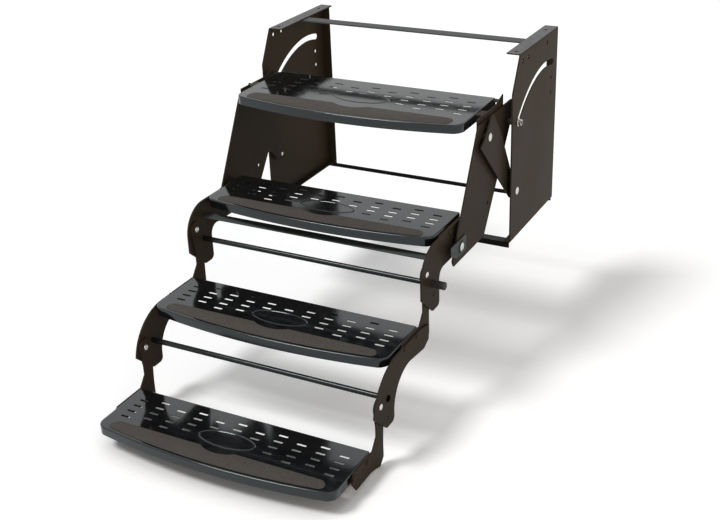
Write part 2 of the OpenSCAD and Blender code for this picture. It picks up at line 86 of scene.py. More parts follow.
# Plan of a tread, in millimetres forward of its rear edge: the slot rows of even and odd columns,
# the oval (centre, half width, half depth), the strip's rear edge and its dip round the oval.
Plan = namedtuple("Plan", "even_rows odd_rows oval strip_rear dip")
TOP_PLAN = Plan((42, 70.5, 99, 127.5), (57, 85.5, 114, 142.5), (122, 74, 35), 179, (122, 74, 73))
LOWER_PLAN = Plan((29, 51.5, 74, 96.5), (41, 63.5, 86, 108.5), (93, 72, 28), 130, (93, 66, 50))
TREAD_LEANS = {1: 0.0, 2: 0.5, 3: 2.8, 4: 6.6}    # degrees by which the bump tilts the shading of a tread's pressed face to the rear; the face stays flat

# Angles in degrees.
FLAT_ANGLE = 0.5            # faces that turn by less are one face
SHEET_ANGLE = 40.0          # cut sheet edges that turn by more are broken
STRIP_ANGLE = 50.0          # strip edges that turn by more are rounded
SMOOTH_ANGLE = 35.0         # faces that turn by less are shaded as one
TREAD_SMOOTH = 40.0         # the same on a tread

# Directions, as parts of a unit length.
UPRIGHT = 0.999             # least rise of the normal of a tread's top
STRAIGHT = 0.99             # least length of a fold's edge along its axis

# Treads and strips.
BOW_POINTS = 520            # points round the whole disc behind a bowed front edge
OVAL_POINTS = 72            # points round the raised oval
DIP_POINTS = 96             # points round the dip in a strip
SLOT_COLUMNS = 5            # slot columns on each side of the middle one
OVAL_CLEAR = 5 * MM         # room kept between slots and oval
PUNCH_OVER = 2 * MM         # how far a punch stands out of the sheet
TOP_MARGIN = 1.5 * MM       # flat border inside the rounded edge
TOP_AREA = 0.01             # least area of a tread's top, in square metres
CORNER_REACH = 0.84         # length along each edge that a front corner takes, in radii
CORNER_ROOM = 1.08          # room cleared at a corner, as a share of its reach
STRIP_CORNER = 10 * MM      # reach of a strip's front corners
STRIP_EDGE = 0.3 * MM       # rounding of a strip's edges
DIP_DEPTH = 20 * MM         # height of the tool that cuts the dip
BADGE_SUNK = 0.6 * MM       # how deep the oval's back lies in the sheet
BADGE_WALL = 0.5 * MM       # height of the wall below the oval's rim
# Steps over the oval's rim to its field: inset in rim widths, rise in rim heights.
RIM_STEPS = ((0.3, 0.7), (0.2, 0.3), (0.2, 0.0), (0.15, -0.3), (0.15, -0.45), (0.25, 0.0))

# Turned pieces, in millimetres.
HEAD = 2.5                  # height of a domed head
# A domed head from rim to crown: share of its height, share of its radius.
DOME = ((0.0, 1.0), (0.22, 1.0), (0.5, 0.93), (0.78, 0.74), (0.94, 0.45), (1.0, 0.2), (1.0, 0.0))
INNER_HEAD = 7.0            # radius of a pin's inner head
SHANK = 4.95                # radius of a pin's shank
STUD_TIP, STUD_BREAK = 4.2, 0.7    # radius and length of the link stud's inner chamfer
RIVET_SHANK, RIVET_FACETS = 4.0, 28
BUSH_BORE = 5.05
CRANK_COLLAR = (6.5, 9.5)   # the crank pin's collar, from its inner and its outer end
HINGE_COLLAR = (7.5, 17.0)  # the second hinge pin's collar, both from its inner end
GUIDE_BODY = (6.5, 16.0)    # the guide pin's round body, from its inner and its outer end
GUIDE_BREAK = 0.6           # chamfer of that body
GUIDE_SHOULDER = 7.2        # radius of the shoulder between body and thread
SHOULDER_END = 11.5         # end of the shoulder, from the pin's outer end
THREAD, THREAD_ROOT = 4.45, 3.75       # radii of the thread
THREAD_FROM, THREAD_LONG = 11.0, 10.0  # start of the thread from the outer end, and its length
NUT_FLATS, NUT_HIGH, NUT_BORE = 14.0, 7.0, 4.5
BORE_OVER = 1.0             # how far the cutter of the nut's bore stands out
NUT_FACE, NUT_ROUND, NUT_BREAK = 7.1, 8.3, 0.8    # radii and length of the nut's chamfer
ROD_RADIUS = 6.45           # radius of the lower rod between its end discs
ROD_BREAK = 0.8             # chamfer of the upper rod's ends and of the grip's inner end
RIBS, RIB_FROM, RIB_PITCH = 9, 4.0, 2.2

# Profiles as (x, radius): the rim from its plate's outer face, the washer from its inner face.
HINGE_RIM = ((-0.5, 11), (-0.5, 17), (0.9, 16.4), (1.5, 15), (1.5, 13), (0.9, 11.6), (-0.5, 11))
WASHER = ((0.0, 4.6), (0.0, 9.6), (0.4, 10), (1.2, 10), (1.5, 9.6), (1.5, 4.6), (0.0, 4.6))
WASHER_THICK = 1.5
# Profiles as (distance from an end, distance below the largest radius).
BUSH_END = ((0.0, 1.0), (1.0, 0.0), (3.4, 0.0), (3.8, 0.6))
DISC_EDGE = ((2.5, 0.4), (2.1, 0.0), (0.9, 0.0), (0.2, 0.8), (0.0, 2.2))
GRIP_END = ((6.0, 0.0), (2.0, 0.0), (0.7, 0.7), (0.0, 2.4))
GRIP_RIB = ((0.0, 0.0), (0.8, 0.0), (1.1, 0.9), (1.9, 0.9))
THREAD_TIP = ((0.7, 0.45), (0.0, 1.25))

# Stage.
SENSOR = 36.0               # camera sensor, in millimetres
VIEW_DEPTH = 60.0
FLOOR_GAP = 0.6 * MM        # gap between the feet and the floor
FLOOR_SIZE = 40.0
# The rays below feed the painted shadow that dims the floor's glow under nearby pieces.
PAINTED_SHADOW_RAYS = 16          # rays that test how near a piece is to the floor
SKY_TONE = (0.93, 0.97, 1.0, 1.0)
WHITE = (1.0, 1.0, 1.0, 1.0)


def length(name, mm, description):
    return FloatProperty(name=name, description=description, default=mm * MM, min=0.0,
                         unit="LENGTH", precision=5)


def level(name, value, description):
    return FloatProperty(name=name, description=description, default=value, min=0.0)


def angle(name, degrees, description):
    return FloatProperty(name=name, description=description, default=math.radians(degrees),
                         subtype="ANGLE")


def tint(name, rgb, description):
    return FloatVectorProperty(name=name, description=description, default=rgb, size=3,
                               min=0.0, max=1.0, subtype="COLOR")


def paint(slot, name, description):
    return tint(name, PAINTS[slot][:3], description)


def aim(name, way, description):
    return FloatVectorProperty(name=name, description=description, default=way, size=3,
                               subtype="DIRECTION")


class TreadSizes(bpy.types.PropertyGroup):
    """Sizes of the pressed treads"""
    edge_round: length("Edge round", 3.2, "Radius of the pressed top edge")
    sheet: length("Sheet", 1.6, "Thickness of the tread sheet")
    corner: length("Corner", 26.0, "Radius of the front corners")
    rear_corner: length("Rear corner", 6.0, "Radius of the rear corners")
    side_ease: length("Side ease", 0.05, "Gap between a tread's sides and the pads on its legs")
    top_bow: length("Top bow", 36.0, "How far the top tread's front edge bows")
    low_bow: length("Lower bow", 27.0, "How far the other front edges bow")
    slot_long: length("Slot length", 23.2, "Length of a punched slot across the tread")
    slot_wide: length("Slot width", 6.6, "Width of a punched slot")
    slot_round: length("Slot round", 2.3, "Radius of a slot's corners")
    slot_pitch: length("Column pitch", 52.2, "Distance between slot columns")
    oval_rim: length("Oval rim", 4.2, "Width of the oval's raised rim")
    oval_up: length("Oval height", 1.3, "Height of the oval's rim")


class StripSizes(bpy.types.PropertyGroup):
    """Sizes of the grip strips"""
    thick: length("Thickness", 0.8, "Thickness of the film")
    nose: length("Nose margin", 8.0, "Margin between the film and the front edge")
    end: length("End margin", 29.0, "Margin between the film's tips and the tread's sides")
    tip: length("Tip radius", 20.0, "Radius of the film's rear tips")


class FrameSizes(bpy.types.PropertyGroup):
    """Sizes on the side frames and hardware"""
    edge: length("Broken edge", 0.7, "Rounding of cut sheet edges")
    fold: length("Fold", 2.6, "Outer radius of folded corners")
    turns: IntProperty(name="Turned steps", description="Facets round a turned piece",
                       default=40, min=12, max=96)
    thread: length("Thread pitch", 1.25, "Pitch of the guide pin's thread")


class FinishTones(bpy.types.PropertyGroup):
    """Colours of the finishes"""
    housing: paint("housing_paint", "Housing coat", "Coat of the side plates")
    side: paint("frame_paint", "Side coat", "Coat of arms, legs, links and risers")
    enamel: paint("tread_enamel", "Tread enamel", "Gloss enamel of the treads")
    bar: paint("bar_enamel", "Bar enamel", "Enamel of rods and bars")
    film: paint("grip_film", "Grip film", "Gritty film on the treads")
    steel: paint("rivet_steel", "Bright zinc", "Rivets, pins and nuts")
    dark: paint("dark_steel", "Dark steel", "Guide pins")
    zinc: paint("hinge_zinc", "Dull zinc", "Hinge plates")
    nylon: paint("bush_nylon", "Nylon", "Link bushes")
    rubber: paint("rod_rubber", "Rubber", "Hand grip")
    # The brace and cross bar coats are lighter greys than the bar enamel: painted sheen, standing
    # in for the light they reflect.
    brace: tint("Brace coat", (0.094, 0.101, 0.099), "Coat of the top brace")
    cross_bar_sheen: tint("Cross bar coat", (0.075, 0.086, 0.083), "Coat of the bar under the nose")
    # Pale tone laid on the flat top faces of the housing and front angle: painted top light in
    # dust-like patches.
    dust: tint("Dust", (0.16, 0.16, 0.165), "Dust on flat top faces")
    disc: tint("End discs", (0.004, 0.004, 0.004), "Black of the lower rod's end discs")


class StageSettings(bpy.types.PropertyGroup):
    """Camera, light and floor"""
    lens: FloatProperty(name="Lens", description="Camera lens", default=56.81, unit="CAMERA")
    azimuth: angle("Azimuth", 27.34, "Camera to the right of the front")
    elevation: angle("Elevation", 25.32, "Camera above the horizon")
    roll: angle("Roll", -1.806, "Camera roll")
    shift: FloatVectorProperty(name="Shift", description="Camera shift",
                               default=(-0.0329, -0.0214), size=2)
    place: FloatVectorProperty(name="Place", description="Camera position",
                               default=(1.2497, -2.6033, 0.7508), size=3, subtype="TRANSLATION")
    floor: tint("Floor", (0.86, 0.86, 0.86), "Colour of the floor")
    glow: level("Floor glow", 0.3, "Lift of the floor towards white in the picture")
    # The glow left under low pieces, and the height from which a piece dims it, paint a contact
    # shadow on the floor.
    painted_shadow_glow: level("Glow under the step", 0.1, "Share of the glow under low pieces")
    painted_shadow_reach: length("Glow reach", 240.0, "Height up to which a piece dims the floor below it")
    sky: level("Sky light", 0.3, "Strength of the surrounding light")
    key: level("Key light", 1.95, "Strength of the key lamp")
    key_soft: angle("Key softness", 18.0, "Apparent width of the key lamp")
    key_tone: tint("Key tone", (1.0, 1.0, 1.0), "Colour of the key lamp")
    key_from: aim("Key from", (-0.45, -0.42, 1.0), "Direction towards the key lamp")
    fill: level("Fill light", 0.8, "Strength of the warm fill from the right")
    fill_soft: angle("Fill softness", 70.0, "Apparent width of the fill lamp")
    fill_tone: tint("Fill tone", (1.0, 0.8, 0.6), "Colour of the fill lamp")
    fill_from: aim("Fill from", (1.0, -0.5, 0.35), "Direction towards the fill lamp")


MIX_SHARE, MIX_A, MIX_B, MIX_COLOUR = 0, 6, 7, 2    # colour sockets of a Mix node


class Wire:
    """One output in a node tree. Sums on it add Math nodes."""

    def __init__(self, tree, socket):
        self.tree, self.socket = tree, socket

    def sum(self, operation, *terms):
        return self.tree.node("Math", {"operation": operation}, dict(enumerate(terms)))

    def __add__(self, other):
        return self.sum("ADD", self, other)

    def __sub__(self, other):
        return self.sum("SUBTRACT", self, other)

    def __rsub__(self, other):
        return self.sum("SUBTRACT", other, self)

    def __mul__(self, other):
        return self.sum("MULTIPLY", self, other)

    __radd__ = __add__
    __rmul__ = __mul__


class Tree:
    """The nodes of a material or world."""

    def __init__(self, block):
        block.use_nodes = True
        self.nodes, self.links = block.node_tree.nodes, block.node_tree.links

    def node(self, kind, settings=None, inputs=None, out=0):
        """Adds a node, applies its settings, then its values and links."""
        made = self.nodes.new("ShaderNode" + kind)
        for key, value in (settings or {}).items():
            setattr(made, key, value)
        self.fill(made, inputs or {})
        return Wire(self, made.outputs[out])

    def fill(self, made, inputs):
        """Gives sockets of a node their values and links."""
        for key, value in inputs.items():
            if isinstance(value, Wire):
                self.links.new(value.socket, made.inputs[key])
            else:
                made.inputs[key].default_value = value

    def backdrop_rays(self):
        """1 on rays that show the backdrop: straight, or by way of gloss or glass."""
        seen = self.node("LightPath", out="Is Camera Ray")
        for ray in ("Is Glossy Ray", "Is Transmission Ray"):
            seen = seen + self.node("LightPath", out=ray)
        return seen


class Finish(Tree):
    """A procedural material on Object coordinates."""

    def __init__(self, name, **constants):
        self.material = bpy.data.materials.new(name)
        super().__init__(self.material)
        self.shader = self.nodes["Principled BSDF"]
        self.feed(**constants)
        self.place = self.node("TexCoord", out="Object")

    def feed(self, **sockets):
        """Gives the shader's sockets their values and links."""
        self.fill(self.shader, {name.replace("_", " "): at for name, at in sockets.items()})

    def axis(self, name):
        return self.node("SeparateXYZ", None, {0: self.place}, name)

    def noise(self, scale, detail=3.0, rough=0.55):
        return self.node("TexNoise", None, {"Vector": self.place, "Scale": scale,
                                            "Detail": detail, "Roughness": rough}, "Fac")

    def cells(self, scale, out):
        return self.node("TexVoronoi", None, {"Vector": self.place, "Scale": scale}, out)

    def span(self, value, given, wanted=(0.0, 1.0)):
        """A value stretched from one range to another, held at its ends."""
        return self.node("MapRange", None, {
            "Value": value, "From Min": given[0], "From Max": given[1],
            "To Min": wanted[0], "To Max": wanted[1]}, "Result")

    def blend(self, share, a, b):
        """A colour between a and b."""
        a, b = (c if isinstance(c, Wire) else (*c, 1.0) for c in (a, b))
        return self.node("Mix", {"data_type": "RGBA"}, {MIX_SHARE: share, MIX_A: a, MIX_B: b},
                         MIX_COLOUR)

    def bump(self, height, strength, distance):
        self.feed(Normal=self.node("Bump", None, {"Strength": strength, "Distance": distance,
                                                  "Height": height}, "Normal"))


def shade(tone, share):
    return tuple(min(1.0, c * share) for c in tone[:3])


def gloss_enamel(name, tone, rough, peel, lean=0.0, shine=0.5):
    """Gloss enamel with a faint orange peel, whose bump shades the face as though it fell to the
    rear by lean degrees.
    """
    # The Specular Tint paints a pale blue cast into the enamel's reflections: painted reflection
    # colour.
    f = Finish(name, Specular_IOR_Level=shine, Specular_Tint=(0.86, 0.96, 1.0, 1.0))
    cloud = f.noise(scale=7.0, detail=4.0)
    dust = f.span(f.noise(scale=42.0, detail=6.0, rough=0.7), (0.48, 0.74))
    coat = f.blend(cloud, shade(tone, 0.75), shade(tone, 1.2))
    f.feed(Base_Color=f.blend(dust * 0.35, coat, shade(tone, 2.2)),
           Roughness=f.span(cloud, (0.3, 0.7), (rough, rough + 0.05)) + dust * 0.05)
    fine, broad = f.noise(scale=210.0, detail=2.0), f.noise(scale=38.0, detail=1.0)
    skin = (fine + broad * 0.8) * (peel * 0.0003)
    f.bump(skin - f.axis("Y") * math.tan(math.radians(lean)), strength=1.0, distance=1.0)
    return f


def powder_coat(name, tone, rough, top_light_height=None, shine=0.02):
    """Powder coat; a height given for the top paints the flat top face there paler in dust-like
    patches: painted top light.
    """
    f = Finish(name, Specular_IOR_Level=shine)
    cloud = f.noise(scale=5.0, detail=5.0, rough=0.6)
    grain = f.noise(scale=900.0, detail=2.0)
    scuff = f.span(f.noise(scale=26.0, detail=8.0, rough=0.75), (0.6, 0.72))
    coat = f.blend(cloud, shade(tone, 0.78), shade(tone, 1.24))
    coat = f.blend(scuff * 0.3, coat, shade(tone, 1.9))
    # Flat top faces turn paler in patches: painted top light laid like dust.
    if top_light_height is not None:
        top = f.span(f.axis("Z"), (top_light_height - 0.6 * MM, top_light_height - 0.1 * MM))
        top_light_patches = f.span(f.noise(scale=60.0, detail=4.0), (0.25, 0.6), (0.6, 1.0))
        coat = f.blend(top * top_light_patches, coat, bpy.context.scene.step_tones.dust)
    f.feed(Base_Color=coat,
           Roughness=f.span(cloud, (0.3, 0.7), (rough - 0.05, rough + 0.06)) + grain * 0.06)
    f.bump(grain + f.noise(scale=320.0, detail=2.0) * 0.7, strength=0.16, distance=0.3 * MM)
    return f


def grit_film(name, tone):
    """Gritty film: dark clumps and pale specks on a tone that drifts from reddish to greenish."""
    f = Finish(name, Specular_IOR_Level=0.35)
    grain = f.cells(620.0, "Distance")
    drift = f.span(f.noise(scale=16.0), (0.35, 0.65))
    clump = f.noise(scale=230.0, detail=5.0, rough=0.75)
    speck = f.span(f.noise(scale=520.0, rough=0.8), (0.5, 0.66))
    reddish, greenish = ([c * share for c, share in zip(tone, shares)]
                         for shares in ((0.95, 0.9, 0.95), (1.0, 1.06, 0.86)))
    film = f.blend(drift, reddish, greenish)
    film = f.blend(f.span(clump, (0.38, 0.62), (0.75, 0.0)), film, shade(tone, 0.3))
    f.feed(Base_Color=f.blend(speck * 0.5, film, shade(tone, 2.6)),
           Roughness=f.span(grain, (0.0, 0.7), (0.62, 0.92)))
    f.bump(clump * 0.7 + (1.0 - grain) * 0.6, strength=0.7, distance=0.9 * MM)
    return f


def plated_steel(name, tone, rough, spangle=0.0):
    """Plated steel with brushed streaks and, with spangle, pale zinc flakes."""
    f = Finish(name, Metallic=1.0)
    brush = f.noise(scale=180.0, detail=4.0, rough=0.65)
    plate = f.blend(brush, shade(tone, 0.72), shade(tone, 1.16))
    if spangle:
        flake = f.node("SeparateColor", None, {0: f.cells(95.0, "Color")})
        plate = f.blend(flake * spangle, plate, shade(tone, 1.7))
    wear = f.noise(scale=46.0, detail=5.0)
    f.feed(Base_Color=plate, Roughness=f.span(wear, (0.3, 0.7), (rough - 0.08, rough + 0.12)))
    f.bump(brush, strength=0.12, distance=0.2 * MM)
    return f


def moulded_plastic(name, tone, rough):
    """Moulded nylon or rubber with a fine grain."""
    f = Finish(name)
    grain = f.noise(scale=700.0)
    f.feed(Base_Color=f.blend(f.noise(scale=30.0, detail=4.0), shade(tone, 0.7), shade(tone, 1.5)),
           Roughness=f.span(grain, (0.3, 0.7), (rough - 0.08, rough + 0.08)))
    f.bump(grain, strength=0.2, distance=0.3 * MM)
    return f


FINISHES = {}


def mix_finishes():
    """Mixes the finishes: one for each material slot, and some for single nodes or details."""
    tones = bpy.context.scene.step_tones
    # The housing's and the front angle's flat tops get painted top light at these heights.
    plate_top, angle_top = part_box("side_plate_right")[1].z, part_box("front_angle")[1].z
    FINISHES.update(
        housing_paint=powder_coat("housing_coat", tones.housing, 0.34, plate_top),
        frame_paint=powder_coat("side_coat", tones.side, 0.32),
        bar_enamel=gloss_enamel("bar_enamel", tones.bar, 0.05, 0.04, shine=0.25),
        grip_film=grit_film("grip_film", tones.film),
        rivet_steel=plated_steel("bright_zinc", tones.steel, 0.24),
        dark_steel=plated_steel("dark_steel", tones.dark, 0.38),
        hinge_zinc=plated_steel("dull_zinc", tones.zinc, 0.4, 0.35),
        bush_nylon=moulded_plastic("black_nylon", tones.nylon, 0.5),
        rod_rubber=moulded_plastic("grip_rubber", tones.rubber, 0.62),
        # The brace and cross bar take lighter grey copies of the bar enamel: painted sheen.
        top_brace=powder_coat("brace_sheen_coat", tones.brace, 0.4),
        cross_bar_2=powder_coat("cross_bar_sheen_coat", tones.cross_bar_sheen, 0.4),
        front_angle=powder_coat("angle_enamel", tones.bar, 0.4, angle_top),
        rear_bar=powder_coat("rear_bar_enamel", tones.bar, 0.4),
        end_disc=powder_coat("end_disc_black", tones.disc, 0.6, shine=0.0),
    )
    for i, lean in TREAD_LEANS.items():
        FINISHES[f"tread_{i}"] = gloss_enamel(f"tread_enamel_{i}", tones.enamel, 0.06, 0.05, lean)


def settle(ob, node, finish=None):
    """Gives a finished piece its finish and its body in place of the CAD node it stands for."""
    ob.data.materials.clear()
    slot = SLOT_OF[node]
    ob.data.materials.append(FINISHES.get(finish or node, FINISHES.get(slot)).material)
    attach(ob, BODY_OF[node])
    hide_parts(node)


def clear():
    """Leaves edit mode and deselects everything."""
    if bpy.context.object and bpy.context.object.mode != "OBJECT":
        bpy.ops.object.mode_set(mode="OBJECT")
    bpy.ops.object.select_all(action="DESELECT")


def only(ob):
    """Selects one object alone and makes it the active one."""
    clear()
    ob.select_set(True)
    bpy.context.view_layer.objects.active = ob


def close_mesh():
    bpy.ops.object.mode_set(mode="OBJECT")


def everything():
    bpy.ops.mesh.select_all(action="SELECT")


def start(name, primitive, **options):
    """Adds a primitive, puts its place in its mesh and opens it, all selected."""
    clear()
    primitive(**options)
    ob = bpy.context.active_object
    ob.name = ob.data.name = name
    bpy.ops.object.transform_apply(location=True, rotation=True, scale=True)
    bpy.ops.object.mode_set(mode="EDIT")
    bpy.ops.mesh.select_mode(type="VERT")
    everything()
    return ob


def pick(ob, kind, test):
    """Selects the vertices, edges or faces of the open mesh that pass the test."""
    bpy.ops.mesh.select_mode(type=kind)
    bpy.ops.mesh.select_all(action="DESELECT")
    mesh = bmesh.from_edit_mesh(ob.data)
    elements = {"VERT": mesh.verts, "EDGE": mesh.edges, "FACE": mesh.faces}[kind]
    found = [e for e in elements if test(e)]
    for e in found:
        e.select_set(True)
    mesh.select_flush_mode()
    bmesh.update_edit_mesh(ob.data)
    return len(found)


def trim(co, no):
    """Cuts the open mesh off beyond a plane."""
    everything()
    bpy.ops.mesh.bisect(plane_co=co, plane_no=no, clear_outer=True)


def extrude(move):
    bpy.ops.mesh.extrude_region_move(TRANSFORM_OT_translate={"value": move})


def face_out():
    """Points all faces of the open mesh outwards."""
    everything()
    bpy.ops.mesh.normals_make_consistent(inside=False)


def shut(ob):
    """Fills the open rim of a mesh, points its faces outwards and closes the mesh."""
    pick(ob, "EDGE", lambda e: len(e.link_faces) == 1)
    bpy.ops.mesh.edge_face_add()
    face_out()
    close_mesh()


def modify(ob, kind, **settings):
    """Adds a modifier and applies it."""
    only(ob)
    m = ob.modifiers.new(kind.title(), kind)
    for key, value in settings.items():
        setattr(m, key, value)
    bpy.ops.object.modifier_apply(modifier=m.name)


def break_edges(ob, width, degrees):
    """Rounds the edges that turn by more than an angle."""
    modify(ob, "BEVEL", width=width, segments=2, limit_method="ANGLE",
           angle_limit=math.radians(degrees), use_clamp_overlap=True)


def cut(ob, tool, operation="DIFFERENCE"):
    modify(ob, "BOOLEAN", operation=operation, object=tool, solver="MANIFOLD")
    bpy.data.objects.remove(tool)


def smooth(ob, degrees=SMOOTH_ANGLE, flats=False):
    """Shades round parts smoothly; with flats, large faces stay truly flat."""
    only(ob)
    bpy.ops.object.shade_smooth_by_angle(angle=math.radians(degrees))
    if flats:
        modify(ob, "WEIGHTED_NORMAL", keep_sharp=True, weight=100, mode="FACE_AREA")


def copied(ob, move):
    """A copy of a piece with its own mesh, moved."""
    made = ob.copy()
    made.data = ob.data.copy()
    bpy.context.scene.collection.objects.link(made)
    made.data.transform(Matrix.Translation(move))
    return made


def mirrored(ob):
    """A copy of a piece with its own mesh, mirrored to the other side."""
    made = copied(ob, (0, 0, 0))
    made.data.transform(Matrix.Scale(-1, 4, (1, 0, 0)))
    made.data.flip_normals()
    return made


def joined(pieces, name):
    """Joins pieces into the first one."""
    clear()
    for ob in pieces:
        ob.select_set(True)
    bpy.context.view_layer.objects.active = pieces[0]
    bpy.ops.object.join()
    pieces[0].name = pieces[0].data.name = name
    return pieces[0]


def settle_pair(ob, name, node):
    """Joins a right-hand piece with its mirror image and settles the pair."""
    settle(joined([ob, mirrored(ob)], name), node)


def turned(name, profile, at, steps=None):
    """Spins (x, radius) points in millimetres about an axis along X through (y, z) in metres."""
    (x, r), (y, z) = profile[0], at
    ob = start(name, bpy.ops.mesh.primitive_plane_add, size=MM, location=(x * MM, y, z + r * MM))
    bpy.ops.mesh.merge(type="CENTER")
    for (x0, r0), (x1, r1) in zip(profile, profile[1:]):
        bpy.ops.mesh.extrude_vertices_move(
            TRANSFORM_OT_translate={"value": ((x1 - x0) * MM, 0, (r1 - r0) * MM)})
    everything()
    bpy.ops.mesh.spin(steps=steps or bpy.context.scene.step_frame.turns, angle=2 * math.pi,
                      center=(0, y, z), axis=(1, 0, 0))
    everything()
    bpy.ops.mesh.remove_doubles(threshold=TOUCH)
    face_out()
    close_mesh()
    smooth(ob)
    return ob


def bow_radius(wide, bow):
    return (wide * wide / 4 + bow * bow) / (2 * bow)


def bowed_plan(name, half, rear, centre, radius, z):
    """A flat outline: part of a wide disc, cut straight at the rear and at both sides."""
    ob = start(name, bpy.ops.mesh.primitive_circle_add, vertices=BOW_POINTS, radius=radius,
               fill_type="NGON", location=(0, centre, z))
    trim((0, rear, z), (0, 1, 0))
    trim((half, 0, z), (1, 0, 0))
    trim((-half, 0, z), (-1, 0, 0))
    return ob


def side_ends(ob, half, end):
    """The ends of a flat outline's straight sides: end is min for the front, max for the rear."""
    points = [v.co.copy() for v in bmesh.from_edit_mesh(ob.data).verts]
    sides = [[p for p in points if abs(p.x - sign * half) < TOUCH] for sign in (-1, 1)]
    return [end(side, key=lambda p: p.y) for side in sides]


def round_corners(ob, corners, reach, segments):
    """Rounds corners of a flat outline: nearby points go first, so the rounding has room."""
    for c in corners:
        if pick(ob, "VERT", lambda v: CORNER_SNAP < (v.co - c).length < reach * CORNER_ROOM):
            bpy.ops.mesh.dissolve_verts()
    pick(ob, "VERT", lambda v: any((v.co - c).length < CORNER_SNAP for c in corners))
    bpy.ops.mesh.bevel(offset=reach, segments=segments, profile=0.5, affect="VERTICES",
                       clamp_overlap=False)


def slot_punch(name, z, down):
    """One round-cornered punch at the origin, reaching down from z."""
    s = bpy.context.scene.step_treads
    ob = start(name, bpy.ops.mesh.primitive_plane_add, size=1.0, location=(0, 0, z))
    bpy.ops.transform.resize(value=(s.slot_long, s.slot_wide, 1.0), center_override=(0, 0, z))
    bpy.ops.mesh.bevel(offset=s.slot_round, segments=4, profile=0.5, affect="VERTICES")
    everything()
    extrude((0, 0, -down))
    shut(ob)
    return ob


def slot_places(plan):
    """Centres of a tread's slots, as (x, forward): two row patterns in turn, clear of the oval."""
    s = bpy.context.scene.step_treads
    middle, half_wide, half_deep = (v * MM for v in plan.oval)
    half_wide, half_deep = half_wide + OVAL_CLEAR, half_deep + OVAL_CLEAR
    places = []
    for column in range(-SLOT_COLUMNS, SLOT_COLUMNS + 1):
        x = column * s.slot_pitch
        for row in plan.odd_rows if column % 2 else plan.even_rows:
            dx = max(0.0, abs(x) - s.slot_long / 2) / half_wide
            dy = (row * MM - middle) / half_deep
            if dx * dx + dy * dy > 1.0:
                places.append((x, row * MM))
    return places


def oval_badge(name, centre, half_wide, half_deep):
    """The raised oval: a rim round a bare field, closed below the sheet's face."""
    s = bpy.context.scene.step_treads
    ob = start(name, bpy.ops.mesh.primitive_circle_add, vertices=OVAL_POINTS, radius=1.0,
               fill_type="NGON", location=(centre.x, centre.y, centre.z - BADGE_SUNK))
    bpy.ops.transform.resize(value=(half_wide, half_deep, 1.0), center_override=centre)
    extrude((0, 0, BADGE_WALL))
    for inset, rise in RIM_STEPS:
        bpy.ops.mesh.inset(thickness=inset * s.oval_rim, depth=rise * s.oval_up,
                           use_even_offset=True)
    shut(ob)
    return ob


def press_tread(name, low, high, bow, plan):
    """One pressed tread: bowed pan with a rounded edge, punched slots and a raised oval."""
    s = bpy.context.scene.step_treads
    wide, rear, top = high.x - low.x - 2 * s.side_ease, high.y, high.z
    r = bow_radius(wide, bow)
    ob = bowed_plan(name, wide / 2, rear, low.y + r, r, low.z)
    round_corners(ob, side_ends(ob, wide / 2, min), s.corner * CORNER_REACH, segments=10)
    round_corners(ob, side_ends(ob, wide / 2, max), s.rear_corner, segments=4)
    everything()
    extrude((0, 0, top - low.z))
    if pick(ob, "FACE", lambda f: all(abs(v.co.z - low.z) < TOUCH for v in f.verts)):
        bpy.ops.mesh.delete(type="ONLY_FACE")
    pick(ob, "EDGE", lambda e: all(abs(v.co.z - top) < TOUCH for v in e.verts))
    bpy.ops.mesh.bevel(offset=s.edge_round, segments=5, profile=0.5, affect="EDGES")
    pick(ob, "FACE", lambda f: f.normal.z > UPRIGHT and f.calc_area() > TOP_AREA)
    bpy.ops.mesh.inset(thickness=TOP_MARGIN, use_even_offset=True)
    face_out()
    close_mesh()
    modify(ob, "SOLIDIFY", thickness=s.sheet, offset=-1.0, use_even_offset=True)
    punch = slot_punch("slot_punch", PUNCH_OVER, s.sheet + 2 * PUNCH_OVER)
    punches = [copied(punch, (x, rear - row, top)) for x, row in slot_places(plan)]
    cut(ob, joined(punches, "slot_punches"))
    bpy.data.objects.remove(punch)
    middle, half_wide, half_deep = (v * MM for v in plan.oval)
    badge = oval_badge("badge", Vector((0, rear - middle, top)), half_wide, half_deep)
    joined([ob, badge], name)
    smooth(ob, TREAD_SMOOTH, flats=True)
    return ob


def settle_lower(second, piece, stem):
    """Copies a piece of the second tread to the third and fourth and settles all three."""
    trio = [second] + [copied(second, TREADS[i][0] - TREADS[2][0]) for i in (3, 4)]
    for i, ordinal, ob in zip((2, 3, 4), ("second", "third", "fourth"), trio):
        ob.name = ob.data.name = f"{ordinal}_{piece}"
        settle(ob, f"{stem}_{i}")


class STEP_OT_treads(bpy.types.Operator):
    """Press the four treads: one deep top tread, and one lower tread copied to its three places"""
    bl_idname = "entry_step.treads"
    bl_label = "Press treads"

    def execute(self, context):
        s = context.scene.step_treads
        settle(press_tread("top_tread", *TREADS[1], s.top_bow, TOP_PLAN), "tread_1")
        settle_lower(press_tread("second_tread", *TREADS[2], s.low_bow, LOWER_PLAN),
                     "tread", "tread")
        return {"FINISHED"}


